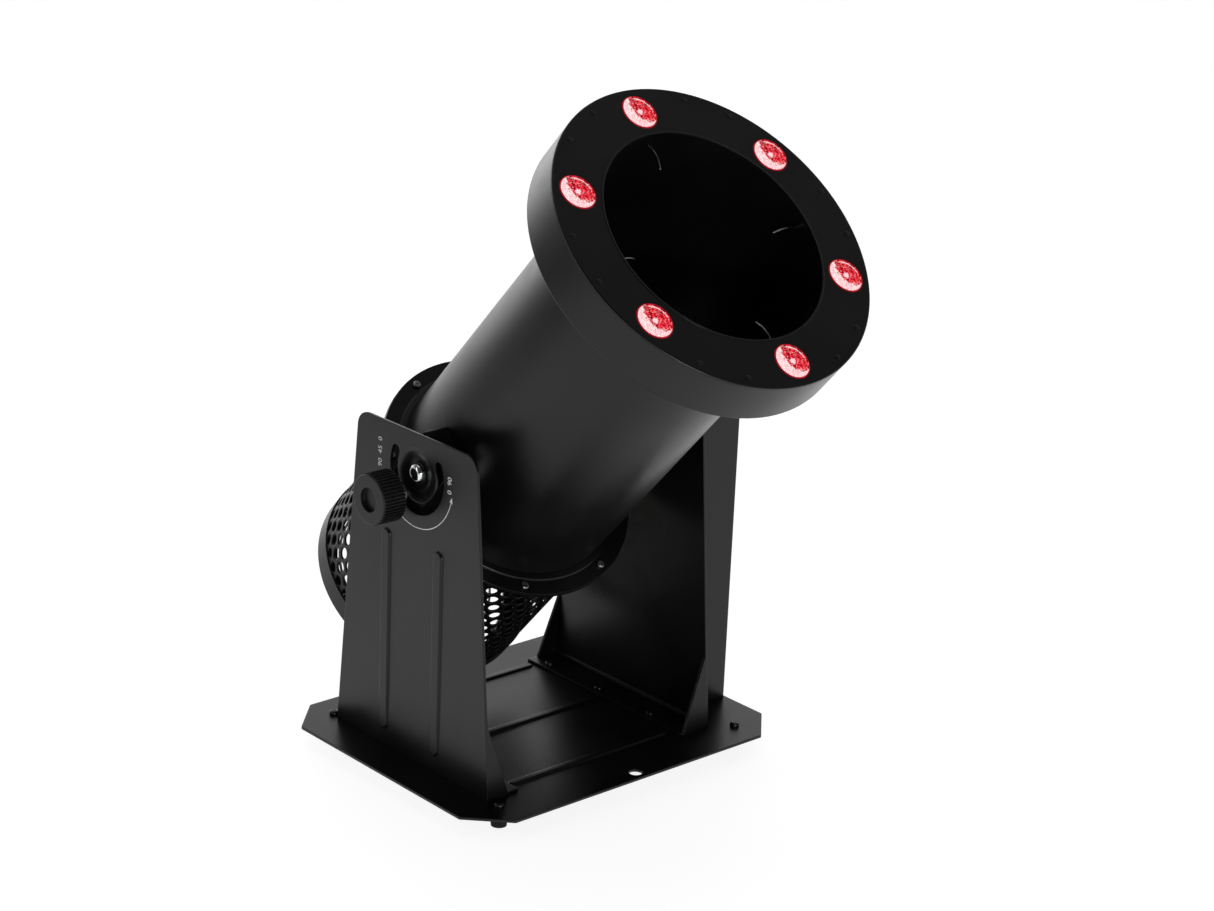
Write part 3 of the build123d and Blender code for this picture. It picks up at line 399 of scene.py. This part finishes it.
def lens_section():
    """Radius and height from the middle outwards: the dome, a groove, the lip and the plain side."""
    section = [(0.0, LENS_CROWN)]
    for k in range(1, DOME_STEPS + 1):
        part = k / DOME_STEPS
        section.append((LENS_RADIUS * 0.86 * part, LENS_CROWN - LENS_DROP * part ** 2))
    for part, height in ((0.88, -LIP_HEIGHT), (0.91, -LIP_HEIGHT), (0.94, LIP_HEIGHT),
                         (0.98, LIP_HEIGHT), (1.0, -LIP_HEIGHT), (1.0, -LENS_DEPTH), (0.0, -LENS_DEPTH)):
        section.append((LENS_RADIUS * part, height))
    return section


def lamp_lens(number, angle, finish):
    """Domed lens with a clear outer lip, made as a lathe of rings about its own axis."""
    section = lens_section()
    points, faces = [], []
    for radius, height in section:
        for k in range(LENS_SIDES):
            turn = 2 * pi * k / LENS_SIDES
            points.append((radius * cos(turn), radius * sin(turn), height))
    for ring in range(len(section) - 1):
        for k in range(LENS_SIDES):
            here = ring * LENS_SIDES + k
            beside = ring * LENS_SIDES + (k + 1) % LENS_SIDES
            faces.append((here, here + LENS_SIDES, beside + LENS_SIDES, beside))
    piece = new_piece(f"lamp_lens_{number}", points, faces, finish, "barrel",
                      place=barrel_matrix(LIGHT_CIRCLE, angle, RING_FRONT))
    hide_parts("led_lenses")


lens_finish = lens_material()
for lamp in range(LAMPS):
    lamp_lens(lamp + 1, radians(LIGHT_START + 360 / LAMPS * lamp), lens_finish)

# ---- printed dial on the left plate ----------------------------------------------------
DIAL_X = LEFT_OUTER - 0.0001
DIAL_RADIUS, DIAL_WIDTH = 0.0605, 0.0009
ARC_FROM, ARC_TO, ARC_STEPS = radians(-30), radians(-166), 72
ARROW_BASE, ARROW_TIP, ARROW_HALF = radians(-164), radians(-170), 0.0024
NUMBER_HEIGHT = 0.0092
dial_white = coat("dial_white", (0.75, 0.75, 0.75), 0.5, strength=0.02, edge=0.00001)


def dial_point(radius, angle):
    """A place on the dial: angle 0 towards the rear, 90 degrees up."""
    return Vector((DIAL_X, PIVOT.y + radius * cos(angle), PIVOT.z + radius * sin(angle)))


def dial_arc():
    """Printed line below the pivot, which ends in an arrow head at the front."""
    points, faces = [], []
    for k in range(ARC_STEPS + 1):
        angle = ARC_FROM + (ARC_TO - ARC_FROM) * k / ARC_STEPS
        points.append(dial_point(DIAL_RADIUS - DIAL_WIDTH / 2, angle))
        points.append(dial_point(DIAL_RADIUS + DIAL_WIDTH / 2, angle))
        if k:
            faces.append((2 * k - 2, 2 * k - 1, 2 * k + 1, 2 * k))
    first = len(points)
    points.append(dial_point(DIAL_RADIUS, ARROW_TIP))
    points.append(dial_point(DIAL_RADIUS - ARROW_HALF, ARROW_BASE))
    points.append(dial_point(DIAL_RADIUS + ARROW_HALF, ARROW_BASE))
    faces.append((first, first + 1, first + 2))
    new_piece("dial_arc", points, faces, dial_white, "stand", smooth=False)


def dial_text(name, words, y, z):
    """Printed numbers on the left plate, read from the side with their tops towards the rear."""
    curve = bpy.data.curves.new(name, "FONT")
    curve.body = words
    curve.size = NUMBER_HEIGHT
    curve.align_x = "CENTER"
    curve.align_y = "CENTER"
    curve.materials.append(dial_white)
    piece = bpy.data.objects.new(name, curve)
    bpy.context.scene.collection.objects.link(piece)
    facing = Matrix(((0, 0, -1), (0, 1, 0), (1, 0, 0))).to_4x4()
    piece.matrix_world = Matrix.Translation((DIAL_X, PIVOT.y + y, PIVOT.z + z)) @ facing
    bpy.context.view_layer.update()
    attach(piece, "stand")


dial_arc()
dial_text("dial_mark_rear", "90  45  0", 0.063, 0.006)
dial_text("dial_mark_front", "0  90", -0.0555, 0.0015)

# ---- floor -----------------------------------------------------------------------------
FLOOR_HALF = 9
FLOOR_DROP = 0.0002                     # keeps the floor clear of the feet


def studio_floor():
    """Pale floor, whose own light falls off towards the far back left."""
    finish = Shader("floor", Base_Color=(0.45, 0.45, 0.45), Roughness=0.6, IOR=1.2)
    finish.roughness(finish.spread(finish.noise(3, 2), 0.55, 0.65))
    finish.set(Emission_Color=(1.0, 1.0, 1.0))
    place = finish.split(finish.place)
    leftward = finish.math("MULTIPLY", place["X"], -0.87)
    backward = finish.math("MULTIPLY", place["Y"], 0.5)
    light = finish.spread(finish.math("ADD", leftward, backward), 0.87, 0.16, 1.0, 2.1)
    finish.link(light, finish.surface.inputs["Emission Strength"])
    mesh = bpy.data.meshes.new("floor")
    corners = [(-1, -1), (1, -1), (1, 1), (-1, 1)]
    mesh.from_pydata([(x * FLOOR_HALF, y * FLOOR_HALF, 0) for x, y in corners], [], [(0, 1, 2, 3)])
    mesh.materials.append(finish.material)
    floor = bpy.data.objects.new("floor", mesh)
    floor.location.z = -FLOOR_DROP
    bpy.context.scene.collection.objects.link(floor)


studio_floor()


# ---- backdrop and lights ---------------------------------------------------------------
def studio_sky():
    """Backdrop, brightest in a low band behind the machine, and dim in front, overhead and left."""
    world = bpy.context.scene.world or bpy.data.worlds.new("studio")
    bpy.context.scene.world = world
    world.use_nodes = True
    tree = world.node_tree
    way = tree.nodes.new("ShaderNodeTexCoord")
    split_way = tree.nodes.new("ShaderNodeSeparateXYZ")
    tree.links.new(way.outputs["Generated"], split_way.inputs[0])

    def blend(axis, from_low, from_high, to_low, to_high):
        """Brightness that changes smoothly with one part of the viewing direction."""
        node = tree.nodes.new("ShaderNodeMapRange")
        node.interpolation_type = "SMOOTHSTEP"
        node.inputs["From Min"].default_value = from_low
        node.inputs["From Max"].default_value = from_high
        node.inputs["To Min"].default_value = to_low
        node.inputs["To Max"].default_value = to_high
        tree.links.new(split_way.outputs[axis], node.inputs["Value"])
        return node.outputs["Result"]

    def combine(operation, first, second):
        """Sum or product of two brightness values."""
        node = tree.nodes.new("ShaderNodeMath")
        node.operation = operation
        tree.links.new(first, node.inputs[0])
        tree.links.new(second, node.inputs[1])
        return node.outputs[0]

    wide = combine("MULTIPLY", blend("Y", -0.9, 0.9, 0.13, 0.9), blend("Z", 0.0, 0.9, 1.0, 0.34))
    band = combine("MULTIPLY", blend("Y", 0.0, 0.8, 0.0, 1.0), blend("Z", 0.02, 0.5, 1.5, 0.0))
    rightward = blend("X", -0.6, 0.2, 0.22, 1.0)
    brightness = combine("MULTIPLY", combine("ADD", wide, band), rightward)
    background = tree.nodes["Background"]
    background.inputs["Color"].default_value = (1.0, 1.0, 1.0, 1.0)
    tree.links.new(brightness, background.inputs["Strength"])


def softbox(name, place, target, width, height, power):
    """Rectangular area light aimed at a point."""
    light = bpy.data.lights.new(name, "AREA")
    light.shape = "RECTANGLE"
    light.size = width
    light.size_y = height
    light.energy = power
    lamp_object = bpy.data.objects.new(name, light)
    lamp_object.location = place
    lamp_object.rotation_mode = "QUATERNION"
    lamp_object.rotation_quaternion = (Vector(target) - Vector(place)).to_track_quat("-Z", "Y")
    bpy.context.scene.collection.objects.link(lamp_object)


studio_sky()
softbox("overhead", (0.3, 0.3, 3.2), (0, 0, 0.3), 2.4, 2.4, 10)
softbox("left_strip", (-2.6, 0.9, 1.2), (0, 0, 0.4), 0.6, 2.2, 6)
softbox("front_strip", (-1.1, -3.1, 0.5), (0, 0, 0.4), 0.35, 0.35, 30)
bpy.context.scene.view_settings.view_transform = "Standard"

# ---- camera ----------------------------------------------------------------------------
CAMERA_TURN, CAMERA_RISE, CAMERA_ROLL = -0.7373, 0.3286, 0.0425
CAMERA_TARGET = Vector((-0.0352, PIVOT.y - 0.1408, 0.3816))
CAMERA_DISTANCE, CAMERA_LENS, SENSOR_WIDTH = 2.885, 82.45, 36


def aim_camera():
    """Camera on a sphere round its target, rolled a little about its own line of sight."""
    data = bpy.data.cameras.new("camera")
    data.sensor_width = SENSOR_WIDTH
    data.lens = CAMERA_LENS
    data.clip_start = 0.05
    camera = bpy.data.objects.new("camera", data)
    back = Vector((sin(CAMERA_TURN) * cos(CAMERA_RISE), -cos(CAMERA_TURN) * cos(CAMERA_RISE),
                   sin(CAMERA_RISE)))
    level = (-back).cross(Vector((0, 0, 1))).normalized()
    top = level.cross(-back)
    right_way = level * cos(CAMERA_ROLL) + top * sin(CAMERA_ROLL)
    up_way = top * cos(CAMERA_ROLL) - level * sin(CAMERA_ROLL)
    facing = Matrix((right_way, up_way, back)).transposed().to_4x4()
    camera.matrix_world = Matrix.Translation(CAMERA_TARGET + back * CAMERA_DISTANCE) @ facing
    bpy.context.scene.collection.objects.link(camera)
    bpy.context.scene.camera = camera


aim_camera()
